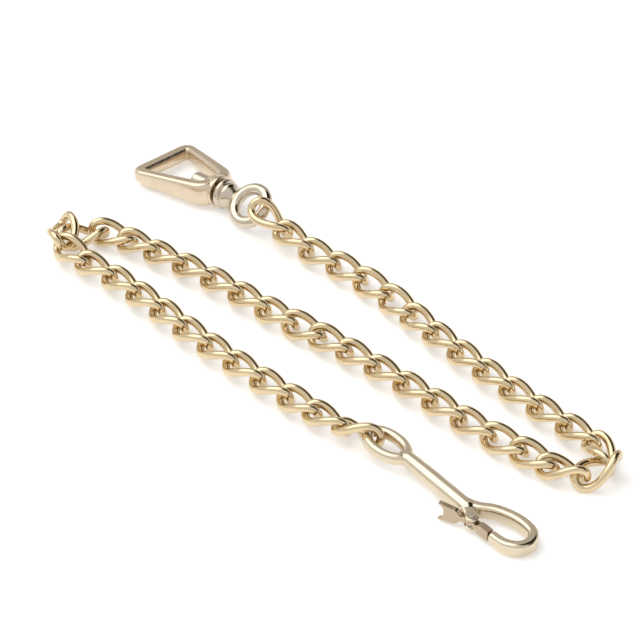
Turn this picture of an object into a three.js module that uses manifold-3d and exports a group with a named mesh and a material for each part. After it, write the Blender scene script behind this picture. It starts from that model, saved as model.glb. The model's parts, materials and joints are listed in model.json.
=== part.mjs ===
// Twisted curb chain with a swivelling strap loop at one end and a trigger snap at the other.
// Millimetres, +Z up, laid out in three runs on the plane Z = 0.
import * as THREE from 'three';
import { mergeVertices } from 'three/addons/utils/BufferGeometryUtils.js';
import Module from 'manifold-3d';

const wasm = await Module();
wasm.setup();

// ---------- driving dimensions ----------

const GAP = 0.3; // running clearance between neighbouring pieces

// One chain link: an oval of round wire whose ends are twisted opposite ways.
const LINK_COUNT = 46;
const WIRE = 2.8;
const LINK_PITCH = 12.8; // centre to centre, pulled straight
const LINK_HALF_LENGTH = (LINK_PITCH + WIRE + GAP) / 2; // of the wire's centreline
const LINK_HALF_WIDTH = 4.1;
const LINK_FULLNESS = 2.4; // 2 is an ellipse, larger is squarer
const LINK_END_TWIST = THREE.MathUtils.degToRad(-60);
const LINK_STEPS = 20;
const WIRE_SIDES = 6;
const CHAIN_HEIGHT = 4.3; // of the chain's axis

// The chain's route, from the swivel's ring to the snap's eye: X, Y and, where it is not
// CHAIN_HEIGHT, Z.
const ROUTE = [
  [-20.7, 52.8, 7.4], [-13, 43.5, 5.4], [-4, 33.5], [6, 24.5], [15.5, 14.5], [24, 4.5], [31, -6], [46, -26],
  [62, -46], [79, -65], [86, -75.5], [85.5, -84], [77.5, -84.5], [67, -78], [50, -64], [32, -45.5],
  [14, -27.5], [-2, -13], [-12, -5], [-32, 14], [-54, 32], [-67, 41], [-76, 45], [-84.5, 43.5],
  [-86.5, 36.5], [-80.5, 30], [-73.5, 24], [-56, 5], [-39, -15.5], [-20, -36], [-2, -54], [6, -61, 4.6], [16.4, -67.2, 5.2],
];
// Where links lie slack, closer together than the rest: link number, reach in links, share lost.
const SLACK = [[16, 3, 0.16], [25, 2, 0.12], [33, 2.5, 0.26], [45.5, 2, 0.12]];
// Roll of the links about the chain's axis, in degrees: the even lean of the runs, and links
// that lie turned: link number, links over which the turn builds up and dies away, angle.
const LEAN = -14;
const TURNED = [[5.5, 3.5, 2, 40], [18, 3, 1.5, 26], [25, 2.5, 1.5, 26], [45, 2.5, 1.2, 12]];
const BENDS = [15, 33]; // the links at the two hairpins, where the lean changes side
const BEND_REACH = 2.5;
// The links are laid on the route and then settled until none digs into another or the floor.
const SETTLE_SAMPLES = 40; // points on each wire's centreline
const SETTLE_SWEEPS = 400;
const SETTLE_GAP = GAP + 0.05;
const TURN_INERTIA = 22; // of a link, over its mass

// Swivel: a cast loop for a strap and a ring eye that spins in its boss.
const SWIVEL_PLACE = new THREE.Vector3(-55.7, 88.6, 2.95);
const SWIVEL_HEADING = THREE.MathUtils.degToRad(-45.5);
const SWIVEL_PITCH = THREE.MathUtils.degToRad(5);
const LOOP_ROLL = THREE.MathUtils.degToRad(-2);
const LOOP_LENGTH = 31.8;
const LOOP_FAR_HALF = 13.8;
const LOOP_NEAR_HALF = 8;
const LOOP_BAR = 3.3;
const LOOP_FAR_HEIGHT = 5.4;
const LOOP_NEAR_HEIGHT = 9.4;
const LOOP_BEVEL = 0.8;
const LOOP_FAR_CORNER = 4;
const LOOP_NEAR_CORNER = 6;
const BOSS_RADIUS = 5.6;
const BOSS_START = 26.4;
const SHANK_RADIUS = 2.2;
const SHANK_HEAD_RADIUS = 3.1;
const SHANK_HEAD_LENGTH = 6;
const SEAM = 0.7; // between the boss and the flange that turns against it
const FLANGE_RADIUS = 5.9;
const FLANGE_LENGTH = 2.6;
const COLLAR_RADIUS = 4.7;
const COLLAR_LENGTH = 6;
const RING_RADIUS = 6.2;
const RING_WIRE = 4.2;
const RING_TILT = THREE.MathUtils.degToRad(38);

// Snap: an eye, a barrel and an open hook, closed by a trigger lever on a rivet.
const SNAP_PLACE = new THREE.Vector3(20.3, -71.6, 5.2);
const SNAP_HEADING = THREE.MathUtils.degToRad(-48.4);
const SNAP_PITCH = THREE.MathUtils.degToRad(2.4); // the eye rides up on the last link
const EYE_HALF_LENGTH = 7.8;
const EYE_HALF_WIDTH = 4.3;
const EYE_ROD_WIDTH = 3.4;
const EYE_ROD_HEIGHT = 3.9;
const BARREL_START = [8, 0.5];
const BARREL_END = [39, -1.5];
const BARREL_RADIUS = 2.7;
const HOOK_PATH = [
  [33, -1.2], [38.5, 0.4], [43.6, 4], [50.5, 6], [57, 5.4], [60, 2], [59.2, -2.2], [55.4, -4.5], [50, -4.6],
];
const HOOK_ROD_WIDTH = 3.6;
const HOOK_ROD_HEIGHT = 5.4;
const PIVOT = [41.6, -4.3];
const EAR_RADIUS = 2.1;
const EAR_THICKNESS = 0.9;
const SLOT_HALF_HEIGHT = 1.35;
const RIVET_RADIUS = 0.8;
const RIVET_HEAD_RADIUS = 1.4;
const RIVET_HEAD_HEIGHT = 0.4;
const LEVER_HUB_RADIUS = 2;
const LEVER_HALF_HEIGHT = SLOT_HALF_HEIGHT - GAP;
const GATE_WIDTH = 2.4;
const GATE_HALF_HEIGHT = 1.7;
const GATE_TIP = [50 - GAP, -4.6];
const TAIL_TIP = [31.4, -8.2];
const TAIL_THICKNESS = 1.6;
const THUMB_HALF_HEIGHT = 2.8;
const THUMB_NOTCH = 2.6; // depth of the curve between the thumb plate's two points
const SPRING_HEIGHT = 0.7;

// ---------- materials ----------

function metal(color, roughness) {
  return new THREE.MeshStandardMaterial({ color, roughness, metalness: 1 });
}

const LINK_METAL = metal(0xd8bd8a, 0.16);
const CAST_METAL = metal(0xdcc69c, 0.2);
const RING_METAL = metal(0xd2c4a4, 0.18);
const SNAP_METAL = metal(0xdfcfa6, 0.16);
const LEVER_METAL = metal(0xd3b888, 0.22);
const RIVET_METAL = metal(0xa98552, 0.3);
const SPRING_METAL = metal(0x9c9a94, 0.3);

// ---------- helpers ----------

// The bare position-only form of a geometry, with shared vertices merged.
function welded(geometry) {
  const bare = new THREE.BufferGeometry();
  bare.setAttribute('position', geometry.getAttribute('position').clone());
  if (geometry.index) bare.setIndex(geometry.index.clone());
  return mergeVertices(bare, 1e-4);
}

function solid(geometry) {
  const bare = welded(geometry);
  const vertProperties = new Float32Array(bare.getAttribute('position').array);
  const triVerts = new Uint32Array(bare.index.array);
  return new wasm.Manifold(new wasm.Mesh({ numProp: 3, vertProperties, triVerts }));
}

function geometryOf(manifold) {
  const mesh = manifold.getMesh();
  const geometry = new THREE.BufferGeometry();
  geometry.setAttribute('position', new THREE.BufferAttribute(new Float32Array(mesh.vertProperties), 3));
  geometry.setIndex(new THREE.BufferAttribute(new Uint32Array(mesh.triVerts), 1));
  return geometry;
}

// A closed loop of rod: curve gives the centreline, the section is across by high.
function closedLoop(curve, halfAcross, halfHigh, steps, sides) {
  const centres = [];
  const tangents = [];
  for (let i = 0; i < steps; i += 1) {
    centres.push(curve.getPoint(i / steps));
    tangents.push(curve.getTangent(i / steps));
  }
  const normals = [new THREE.Vector3(0, 0, 1).projectOnPlane(tangents[0]).normalize()];
  for (let i = 1; i <= steps; i += 1) {
    normals.push(normals[i - 1].clone().projectOnPlane(tangents[i % steps]).normalize());
  }
  const side = new THREE.Vector3().crossVectors(tangents[0], normals[0]);
  const closing = Math.atan2(normals[steps].dot(side), normals[steps].dot(normals[0]));
  const position = [];
  const index = [];
  for (let i = 0; i < steps; i += 1) {
    const up = normals[i].clone().applyAxisAngle(tangents[i], (-closing * i) / steps);
    const across = new THREE.Vector3().crossVectors(tangents[i], up);
    for (let j = 0; j < sides; j += 1) {
      const angle = (2 * Math.PI * j) / sides;
      const point = centres[i].clone();
      point.addScaledVector(up, halfHigh * Math.sin(angle));
      point.addScaledVector(across, halfAcross * Math.cos(angle));
      position.push(point.x, point.y, point.z);
      const a = i * sides + j;
      const b = i * sides + ((j + 1) % sides);
      const c = ((i + 1) % steps) * sides + ((j + 1) % sides);
      const d = ((i + 1) % steps) * sides + j;
      index.push(a, c, b, a, d, c);
    }
  }
  const geometry = new THREE.BufferGeometry();
  geometry.setAttribute('position', new THREE.Float32BufferAttribute(position, 3));
  geometry.setIndex(index);
  return geometry;
}

// A rod with flat ends along a level curve through the points, its section an oval.
function openRod(points, width, height, steps) {
  const path = new THREE.CatmullRomCurve3(points.map(([u, v]) => new THREE.Vector3(u, v, 0)));
  const section = new THREE.Shape();
  section.absellipse(0, 0, height / 2, width / 2, 0, 2 * Math.PI);
  return new THREE.ExtrudeGeometry(section, { steps, curveSegments: 6, extrudePath: path });
}

// A solid of revolution about the X axis, from [x, radius] points that start and end on the axis.
function turnedAlongX(profile, sides) {
  const geometry = new THREE.LatheGeometry(profile.map(([x, r]) => new THREE.Vector2(r, x)), sides);
  return geometry.rotateZ(-Math.PI / 2);
}

function cylinderUp(u, v, low, high, radius, sides) {
  const geometry = new THREE.CylinderGeometry(radius, radius, high - low, sides);
  geometry.rotateX(Math.PI / 2);
  return geometry.translate(u, v, (low + high) / 2);
}

// A level plate, low to high, of the outline given.
function plate(shape, low, high, curveSegments) {
  const geometry = new THREE.ExtrudeGeometry(shape, { depth: high - low, bevelEnabled: false, curveSegments });
  return geometry.translate(0, 0, low);
}

// The outline of a bar with round ends between two points.
function barOutline([u0, v0], [u1, v1], startWidth, endWidth) {
  const heading = Math.atan2(v1 - v0, u1 - u0);
  const shape = new THREE.Shape();
  shape.absarc(u0, v0, startWidth / 2, heading + Math.PI / 2, heading + 1.5 * Math.PI);
  shape.absarc(u1, v1, endWidth / 2, heading - Math.PI / 2, heading + Math.PI / 2);
  shape.closePath();
  return shape;
}

function namedMesh(name, geometry, material) {
  const mesh = new THREE.Mesh(geometry, material);
  mesh.name = name;
  return mesh;
}

// ---------- chain ----------

class LinkLine extends THREE.Curve {
  getPoint(t, target = new THREE.Vector3()) {
    const angle = 2 * Math.PI * t;
    const power = 2 / LINK_FULLNESS;
    const along = Math.sign(Math.cos(angle)) * Math.abs(Math.cos(angle)) ** power;
    const across = LINK_HALF_WIDTH * Math.sign(Math.sin(angle)) * Math.abs(Math.sin(angle)) ** power;
    const twist = LINK_END_TWIST * along;
    return target.set(LINK_HALF_LENGTH * along, across * Math.cos(twist), across * Math.sin(twist));
  }
}

// A link with its steps spread evenly by length.
class EvenLine extends THREE.Curve {
  constructor(line) {
    super();
    this.line = line;
  }

  getPoint(t, target) {
    return this.line.getPointAt(t, target);
  }

  getTangent(t, target) {
    return this.line.getTangentAt(t, target);
  }
}

function shareAt(link) {
  let share = 1;
  for (const [at, reach, lost] of SLACK) share -= lost * Math.max(0, 1 - Math.abs(link - at) / reach);
  return share;
}

// The points between neighbouring links, where each hooks into the next.
function chainPivots() {
  const route = new THREE.CatmullRomCurve3(
    ROUTE.map(([x, y, z = CHAIN_HEIGHT]) => new THREE.Vector3(x, y, z)),
  );
  route.arcLengthDivisions = 2000;
  const shares = [];
  for (let link = 1; link <= LINK_COUNT; link += 1) shares.push(shareAt(link));
  const total = shares.reduce((sum, share) => sum + share, 0);
  const pivots = [route.getPointAt(0)];
  let run = 0;
  for (const share of shares) {
    run += share;
    pivots.push(route.getPointAt(Math.min(1, run / total)));
  }
  return pivots;
}

function rollAt(link) {
  let side = 1; // the lean's sign: the middle run heads back, so its lean is mirrored
  for (const bend of BENDS) side *= THREE.MathUtils.clamp((bend - link) / BEND_REACH, -1, 1);
  let roll = LEAN * side;
  for (const [at, rise, fall, angle] of TURNED) {
    const away = link < at ? (at - link) / rise : (link - at) / fall;
    roll += Math.sign(side) * angle * Math.max(0, 1 - away);
  }
  return THREE.MathUtils.degToRad(roll);
}

// Links as first laid: each spans two pivots, turned by its roll.
function laidLinks() {
  const pivots = chainPivots();
  const links = [];
  for (let link = 1; link <= LINK_COUNT; link += 1) {
    const from = pivots[link - 1];
    const to = pivots[link];
    const heading = Math.atan2(to.y - from.y, to.x - from.x);
    const centre = new THREE.Vector3().addVectors(from, to).multiplyScalar(0.5);
    const turn = new THREE.Quaternion().setFromEuler(new THREE.Euler(rollAt(link), 0, heading, 'ZYX'));
    links.push({ centre, turn, line: evenPoints(new LinkLine()), radius: WIRE / 2, free: true });
  }
  return links;
}

function evenPoints(curve) {
  return Array.from({ length: SETTLE_SAMPLES }, (_, i) => curve.getPointAt(i / SETTLE_SAMPLES));
}

function placed(body) {
  return body.line.map((point) => point.clone().applyQuaternion(body.turn).add(body.centre));
}

// Moves a body so that the point at arm from its centre gives way by push along normal.
function giveWay(body, arm, normal, push) {
  body.centre.addScaledVector(normal, push);
  const spin = new THREE.Vector3().crossVectors(arm, normal).multiplyScalar(push / TURN_INERTIA);
  const angle = spin.length();
  if (angle > 0) {
    body.turn.premultiply(new THREE.Quaternion().setFromAxisAngle(spin.divideScalar(angle), angle));
  }
}

function looseness(body, arm, normal) {
  if (!body.free) return 0;
  return 1 + new THREE.Vector3().crossVectors(arm, normal).lengthSq() / TURN_INERTIA;
}

// Parts two wires at the place where they are closest, if they are too close.
function partWires(one, other) {
  const reach = one.radius + other.radius + SETTLE_GAP;
  const onePoints = placed(one);
  const otherPoints = placed(other);
  let least = reach * reach;
  let pair = null;
  for (const a of onePoints) {
    for (const b of otherPoints) {
      const distance = a.distanceToSquared(b);
      if (distance < least) {
        least = distance;
        pair = [a, b];
      }
    }
  }
  if (!pair) return;
  const [a, b] = pair;
  const normal = new THREE.Vector3().subVectors(a, b).normalize();
  const oneArm = a.clone().sub(one.centre);
  const otherArm = b.clone().sub(other.centre);
  const total = looseness(one, oneArm, normal) + looseness(other, otherArm, normal);
  if (total === 0) return;
  const push = (reach - Math.sqrt(least)) / total;
  if (one.free) giveWay(one, oneArm, normal, push);
  if (other.free) giveWay(other, otherArm, normal, -push);
}

function liftClear(body) {
  const points = placed(body);
  const lowest = points.reduce((low, point) => (point.z < low.z ? point : low));
  const sunk = body.radius - lowest.z;
  if (sunk <= 0) return;
  const up = new THREE.Vector3(0, 0, 1);
  const arm = lowest.clone().sub(body.centre);
  giveWay(body, arm, up, sunk / looseness(body, arm, up));
}

function settle(bodies) {
  for (let sweep = 0; sweep < SETTLE_SWEEPS; sweep += 1) {
    for (let i = 0; i < bodies.length; i += 1) {
      if (i + 1 < bodies.length) partWires(bodies[i], bodies[i + 1]);
      if (i + 2 < bodies.length) partWires(bodies[i], bodies[i + 2]);
      if (bodies[i].free) liftClear(bodies[i]);
    }
  }
}

// The loop of wire that a fixed end offers the chain.
function anchor(curve, radius, matrix) {
  const line = evenPoints(curve).map((point) => point.applyMatrix4(matrix));
  return { centre: new THREE.Vector3(), turn: new THREE.Quaternion(), line, radius, free: false };
}

function chain(ringAnchor, eyeAnchor) {
  const group = new THREE.Group();
  const geometry = closedLoop(new EvenLine(new LinkLine()), WIRE / 2, WIRE / 2, LINK_STEPS, WIRE_SIDES);
  const links = laidLinks();
  settle([ringAnchor, ...links, eyeAnchor]);
  links.forEach((link, i) => {
    const mesh = namedMesh(`link_${String(i + 1).padStart(2, '0')}`, geometry, LINK_METAL);
    mesh.position.copy(link.centre);
    mesh.quaternion.copy(link.turn);
    group.add(mesh);
  });
  return group;
}

// ---------- swivel ----------

// A trapezium with rounded corners, from x0 with half-width w0 to x1 with half-width w1.
function trapezium(path, [x0, w0, corner0], [x1, w1, corner1]) {
  const corners = [[x0, -w0, corner0], [x1, -w1, corner1], [x1, w1, corner1], [x0, w0, corner0]];
  const points = corners.map(([x, y]) => new THREE.Vector2(x, y));
  points.forEach((point, i) => {
    const corner = corners[i][2];
    const before = points[(i + 3) % 4].clone().sub(point).setLength(corner).add(point);
    const after = points[(i + 1) % 4].clone().sub(point).setLength(corner).add(point);
    if (i === 0) path.moveTo(before.x, before.y);
    else path.lineTo(before.x, before.y);
    path.quadraticCurveTo(point.x, point.y, after.x, after.y);
  });
  path.closePath();
  return path;
}

function strapLoop() {
  const inset = LOOP_BEVEL;
  const outline = trapezium(
    new THREE.Shape(),
    [inset, LOOP_FAR_HALF - inset, LOOP_FAR_CORNER],
    [LOOP_LENGTH - inset, LOOP_NEAR_HALF - inset, LOOP_NEAR_CORNER],
  );
  const windowReach = LOOP_BAR - inset;
  outline.holes.push(trapezium(
    new THREE.Path(),
    [windowReach, LOOP_FAR_HALF - windowReach, LOOP_FAR_CORNER / 2],
    [BOSS_START + inset, LOOP_NEAR_HALF - windowReach + 0.4, LOOP_FAR_CORNER / 2],
  ));
  const frame = new THREE.ExtrudeGeometry(outline, {
    depth: LOOP_FAR_HEIGHT - 2 * LOOP_BEVEL,
    bevelSize: LOOP_BEVEL,
    bevelThickness: LOOP_BEVEL,
    bevelSegments: 1,
    curveSegments: 3,
  });
  frame.translate(0, 0, LOOP_BEVEL - LOOP_FAR_HEIGHT / 2);
  const swell = (LOOP_NEAR_HEIGHT / LOOP_FAR_HEIGHT - 1) / LOOP_LENGTH;
  const place = frame.getAttribute('position');
  for (let i = 0; i < place.count; i += 1) place.setZ(i, place.getZ(i) * (1 + swell * place.getX(i)));
  const boss = turnedAlongX([
    [BOSS_START - 1, 0], [BOSS_START - 1, BOSS_RADIUS - 2], [BOSS_START + 1.4, BOSS_RADIUS - 0.6],
    [LOOP_LENGTH - 0.8, BOSS_RADIUS], [LOOP_LENGTH, BOSS_RADIUS - 0.8], [LOOP_LENGTH, 0],
  ], 20);
  const bore = turnedAlongX([
    [BOSS_START - 3, 0], [BOSS_START - 3, SHANK_RADIUS + GAP], [LOOP_LENGTH + 2, SHANK_RADIUS + GAP],
    [LOOP_LENGTH + 2, 0],
  ], 16);
  return geometryOf(solid(frame).add(solid(boss)).subtract(solid(bore)));
}

const HEAD_END = BOSS_START - 1 - GAP;
const COLLAR_START = LOOP_LENGTH + SEAM;
const RING_CENTRE = COLLAR_START + COLLAR_LENGTH + RING_RADIUS + RING_WIRE / 2 - 0.5;

// The head, shank and collar in one turning, joined to the ring.
function swivelEye() {
  const stem = turnedAlongX([
    [HEAD_END - SHANK_HEAD_LENGTH, 0], [HEAD_END - SHANK_HEAD_LENGTH, SHANK_HEAD_RADIUS - 0.7],
    [HEAD_END - SHANK_HEAD_LENGTH + 0.7, SHANK_HEAD_RADIUS], [HEAD_END, SHANK_HEAD_RADIUS],
    [HEAD_END, SHANK_RADIUS], [COLLAR_START, SHANK_RADIUS], [COLLAR_START, FLANGE_RADIUS - 0.7],
    [COLLAR_START + 0.7, FLANGE_RADIUS], [COLLAR_START + FLANGE_LENGTH - 0.7, FLANGE_RADIUS],
    [COLLAR_START + FLANGE_LENGTH, COLLAR_RADIUS], [COLLAR_START + COLLAR_LENGTH - 1.5, COLLAR_RADIUS - 0.4],
    [COLLAR_START + COLLAR_LENGTH + 0.5, RING_WIRE / 2], [COLLAR_START + COLLAR_LENGTH + 1.6, 0],
  ], 20);
  const ring = new THREE.TorusGeometry(RING_RADIUS, RING_WIRE / 2, 10, 24);
  ring.translate(RING_CENTRE, 0, 0);
  ring.rotateX(RING_TILT);
  return geometryOf(solid(stem).add(solid(ring)));
}

function swivel() {
  const group = new THREE.Group();
  group.position.copy(SWIVEL_PLACE);
  group.rotation.set(0, -SWIVEL_PITCH, SWIVEL_HEADING, 'ZYX');
  const loop = namedMesh('strap_loop', strapLoop(), CAST_METAL);
  loop.rotation.x = LOOP_ROLL;
  group.add(loop, namedMesh('swivel_eye', swivelEye(), RING_METAL));
  group.updateMatrixWorld();
  return group;
}

class RingLine extends THREE.Curve {
  getPoint(t, target = new THREE.Vector3()) {
    const angle = 2 * Math.PI * t;
    const side = RING_RADIUS * Math.sin(angle);
    const along = RING_CENTRE + RING_RADIUS * Math.cos(angle);
    return target.set(along, side * Math.cos(RING_TILT), side * Math.sin(RING_TILT));
  }
}

// ---------- snap ----------

class EyeLine extends THREE.Curve {
  getPoint(t, target = new THREE.Vector3()) {
    const angle = 2 * Math.PI * t;
    return target.set(EYE_HALF_LENGTH * Math.cos(angle), EYE_HALF_WIDTH * Math.sin(angle), 0);
  }
}

function barrel() {
  const length = Math.hypot(BARREL_END[0] - BARREL_START[0], BARREL_END[1] - BARREL_START[1]);
  const geometry = turnedAlongX([
    [-2.4, 0], [-2.4, 1.2], [0, 2.3], [3.5, BARREL_RADIUS - 0.2], [length * 0.4, BARREL_RADIUS],
    [length - 1.5, BARREL_RADIUS], [length, BARREL_RADIUS - 1], [length, 0],
  ], 16);
  geometry.rotateZ(Math.atan2(BARREL_END[1] - BARREL_START[1], BARREL_END[0] - BARREL_START[0]));
  return geometry.translate(BARREL_START[0], BARREL_START[1], 0);
}

// The ears that hold the rivet, one block with a slot for the lever cut through it.
function ears() {
  const top = SLOT_HALF_HEIGHT + EAR_THICKNESS;
  return solid(plate(barOutline([37, -2], PIVOT, 2 * EAR_RADIUS, 2 * EAR_RADIUS), -top, top, 6));
}

function leverSlot() {
  const reach = LEVER_HUB_RADIUS + 2 * GAP;
  const hub = solid(cylinderUp(...PIVOT, -SLOT_HALF_HEIGHT, SLOT_HALF_HEIGHT, reach, 20));
  const back = plate(barOutline(PIVOT, [31, -9.6], 2 * reach, 7), -SLOT_HALF_HEIGHT, SLOT_HALF_HEIGHT, 4);
  const front = plate(barOutline(PIVOT, [50, -0.6], 2 * reach, 6), -SLOT_HALF_HEIGHT, SLOT_HALF_HEIGHT, 4);
  return hub.add(solid(back)).add(solid(front));
}

function snapBody() {
  const eye = closedLoop(new EyeLine(), EYE_ROD_WIDTH / 2, EYE_ROD_HEIGHT / 2, 24, 8);
  const hook = openRod(HOOK_PATH, HOOK_ROD_WIDTH, HOOK_ROD_HEIGHT, 26);
  const bore = cylinderUp(...PIVOT, -8, 8, RIVET_RADIUS + GAP, 16);
  const housing = ears().subtract(leverSlot()).subtract(solid(bore));
  return geometryOf(solid(eye).add(solid(barrel())).add(solid(hook)).subtract(leverSlot()).add(housing));
}

// An upright plate from the pivot to a tip, flaring from the hub's height to end at half-height
// flare, its end hollowed by notch.
function flaredPlate([u, v], thickness, flare, notch) {
  const run = Math.hypot(u - PIVOT[0], v - PIVOT[1]);
  const low = -LEVER_HALF_HEIGHT + SPRING_HEIGHT;
  const start = RIVET_RADIUS + 2 * GAP;
  const neck = LEVER_HUB_RADIUS + 2 * GAP;
  const shape = new THREE.Shape();
  shape.moveTo(start, low);
  shape.lineTo(neck, low);
  shape.quadraticCurveTo(run * 0.6, -flare * 0.8, run, -flare);
  shape.quadraticCurveTo(run - 2 * notch, 0, run, flare);
  shape.quadraticCurveTo(run * 0.6, flare * 0.8, neck, LEVER_HALF_HEIGHT);
  shape.lineTo(start, LEVER_HALF_HEIGHT);
  shape.closePath();
  const geometry = plate(shape, -thickness / 2, thickness / 2, 4);
  geometry.rotateX(Math.PI / 2);
  geometry.rotateZ(Math.atan2(v - PIVOT[1], u - PIVOT[0]));
  return solid(geometry.translate(PIVOT[0], PIVOT[1], 0));
}

function triggerLever() {
  const low = -LEVER_HALF_HEIGHT + SPRING_HEIGHT;
  const hub = solid(cylinderUp(...PIVOT, low, LEVER_HALF_HEIGHT, LEVER_HUB_RADIUS, 20));
  const gate = flaredPlate(GATE_TIP, GATE_WIDTH, GATE_HALF_HEIGHT, 0);
  const tail = flaredPlate(TAIL_TIP, TAIL_THICKNESS, THUMB_HALF_HEIGHT, THUMB_NOTCH);
  const bore = cylinderUp(...PIVOT, -8, 8, RIVET_RADIUS + GAP, 16);
  return geometryOf(hub.add(gate).add(tail).subtract(solid(bore)));
}

function rivet() {
  const face = SLOT_HALF_HEIGHT + EAR_THICKNESS + GAP;
  const end = face + RIVET_HEAD_HEIGHT;
  const profile = [
    [0, -end], [RIVET_HEAD_RADIUS, -end], [RIVET_HEAD_RADIUS, -face], [RIVET_RADIUS, -face],
    [RIVET_RADIUS, face], [RIVET_HEAD_RADIUS, face], [RIVET_HEAD_RADIUS, end], [0, end],
  ];
  const geometry = new THREE.LatheGeometry(profile.map(([r, z]) => new THREE.Vector2(r, z)), 16);
  return geometry.rotateX(Math.PI / 2).translate(PIVOT[0], PIVOT[1], 0);
}

// The flat coil of the lever's return spring, round the rivet under the lever.
function returnSpring() {
  const inner = RIVET_RADIUS + GAP;
  const outer = LEVER_HUB_RADIUS;
  const low = -SLOT_HALF_HEIGHT + GAP / 2;
  const high = low + SPRING_HEIGHT - GAP;
  const profile = [[inner, low], [outer, low], [outer, high], [inner, high], [inner, low]];
  const geometry = new THREE.LatheGeometry(profile.map(([r, z]) => new THREE.Vector2(r, z)), 16);
  return geometry.rotateX(Math.PI / 2).translate(PIVOT[0], PIVOT[1], 0);
}

function snap() {
  const group = new THREE.Group();
  group.position.copy(SNAP_PLACE);
  group.rotation.set(0, SNAP_PITCH, SNAP_HEADING, 'ZYX');
  group.add(namedMesh('snap_body', snapBody(), SNAP_METAL));
  group.add(namedMesh('trigger_lever', triggerLever(), LEVER_METAL));
  group.add(namedMesh('trigger_rivet', rivet(), RIVET_METAL));
  group.add(namedMesh('trigger_spring', returnSpring(), SPRING_METAL));
  group.updateMatrixWorld();
  return group;
}

const swivelGroup = swivel();
const snapGroup = snap();
const ringAnchor = anchor(new RingLine(), RING_WIRE / 2, swivelGroup.matrixWorld);
const eyeAnchor = anchor(new EyeLine(), EYE_ROD_HEIGHT / 2, snapGroup.matrixWorld);

const part = new THREE.Group();
part.add(swivelGroup, chain(ringAnchor, eyeAnchor), snapGroup);

// The origin is the middle of the part's underside.
const box = new THREE.Box3().setFromObject(part, true);
const middle = box.getCenter(new THREE.Vector3());
for (const group of part.children) group.position.sub(new THREE.Vector3(middle.x, middle.y, box.min.z));

export default part;
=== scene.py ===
"""A polished metal curb chain with a swivel strap loop at one end and a trigger snap at the other.

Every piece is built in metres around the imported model, and rides on one of its bodies.
"""

import json
import math

import bmesh
import bpy
import numpy as np
from mathutils import Matrix, Vector


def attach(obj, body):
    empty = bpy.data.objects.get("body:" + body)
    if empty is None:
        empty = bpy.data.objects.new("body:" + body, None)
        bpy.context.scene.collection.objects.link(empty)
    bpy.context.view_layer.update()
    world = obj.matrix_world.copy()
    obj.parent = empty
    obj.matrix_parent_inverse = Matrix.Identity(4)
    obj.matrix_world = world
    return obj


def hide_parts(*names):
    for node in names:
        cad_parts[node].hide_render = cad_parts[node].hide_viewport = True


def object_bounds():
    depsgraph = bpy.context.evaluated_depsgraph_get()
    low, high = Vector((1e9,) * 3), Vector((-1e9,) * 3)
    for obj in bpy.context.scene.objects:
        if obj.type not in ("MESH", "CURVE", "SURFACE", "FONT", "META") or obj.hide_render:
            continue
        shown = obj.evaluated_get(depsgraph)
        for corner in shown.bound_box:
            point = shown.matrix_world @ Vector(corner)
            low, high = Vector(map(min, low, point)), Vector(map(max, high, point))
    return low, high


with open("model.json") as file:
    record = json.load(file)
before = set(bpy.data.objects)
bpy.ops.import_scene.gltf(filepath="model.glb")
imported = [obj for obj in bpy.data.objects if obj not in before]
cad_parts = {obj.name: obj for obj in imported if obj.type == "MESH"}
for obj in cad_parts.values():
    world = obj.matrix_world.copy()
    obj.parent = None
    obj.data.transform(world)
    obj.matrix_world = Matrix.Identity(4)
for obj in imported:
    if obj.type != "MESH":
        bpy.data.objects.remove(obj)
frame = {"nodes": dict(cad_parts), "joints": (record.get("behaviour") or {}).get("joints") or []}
CAD_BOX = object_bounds()

MM = 0.001

# ---------- driving dimensions ----------

# Chain link: a round wire bent to an oval whose two ends are twisted against each other. The wire is
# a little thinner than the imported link's: that one has six flat sides, and clears its neighbours at
# joint limits where a round wire of the same size touches them.
LINK_COUNT = 46
LINK_HALF_LENGTH = 7.95 * MM
LINK_HALF_WIDTH = 4.1 * MM
LINK_FULLNESS = 2.4
LINK_END_TWIST = math.radians(-60)
LINK_WIRE_RADIUS = 1.35 * MM
LINK_STEPS = 72
LINK_SIDES = 16
CURVE_SAMPLES = 40

# Swivel: x runs from the strap bar to the ring, with x = 0 at the strap bar's outer face.
SWIVEL_JOINT_X = 28 * MM
LOOP_ROLL = math.radians(-2)
LOOP_LENGTH = 31.8 * MM
LOOP_BAR = 3.8 * MM
LOOP_BAR_SWELL = 0.22
LOOP_BAR_SWELL_REACH = (2 * MM, 6 * MM)
LOOP_SIDE_SWELL = 0.5
LOOP_FAR_CORNER = 3.0 * MM
LOOP_NEAR_CORNER = 4.6 * MM
LOOP_FULLNESS = (3.4, 2.3)
LOOP_STEP = 0.8 * MM
LOOP_GRAIN = 0.24 * MM
LOOP_SOFTNESS = 4
LOOP_FAR_HALF = 13.8 * MM
LOOP_NEAR_HALF = 8.0 * MM
LOOP_FAR_HEIGHT = 4.8 * MM
LOOP_FAR_LIFT = 0.5 * MM
LOOP_NEAR_HEIGHT = 9.4 * MM
BOSS_START = 26.4 * MM
BOSS_RADIUS = 5.6 * MM
SHANK_RADIUS = 2.2 * MM
BORE_RADIUS = 2.5 * MM
HEAD_START = 19.1 * MM
HEAD_END = 25.1 * MM
HEAD_RADIUS = 3.1 * MM
COLLAR_START = 32.5 * MM
FLANGE_START = 33.1 * MM
FLANGE_LENGTH = 2.0 * MM
FLANGE_RADIUS = 5.3 * MM
RECESS_RADIUS = 4.5 * MM
RECESS_DEPTH = 1.6 * MM
COLLAR_LENGTH = 6.0 * MM
COLLAR_RADIUS = 4.7 * MM
RING_CENTRE = 46.3 * MM
RING_RADIUS = 6.2 * MM
RING_WIRE_RADIUS = 2.1 * MM
RING_TILT = math.radians(38)
RING_GRAIN = 0.16 * MM
RING_SOFTNESS = 3

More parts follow.
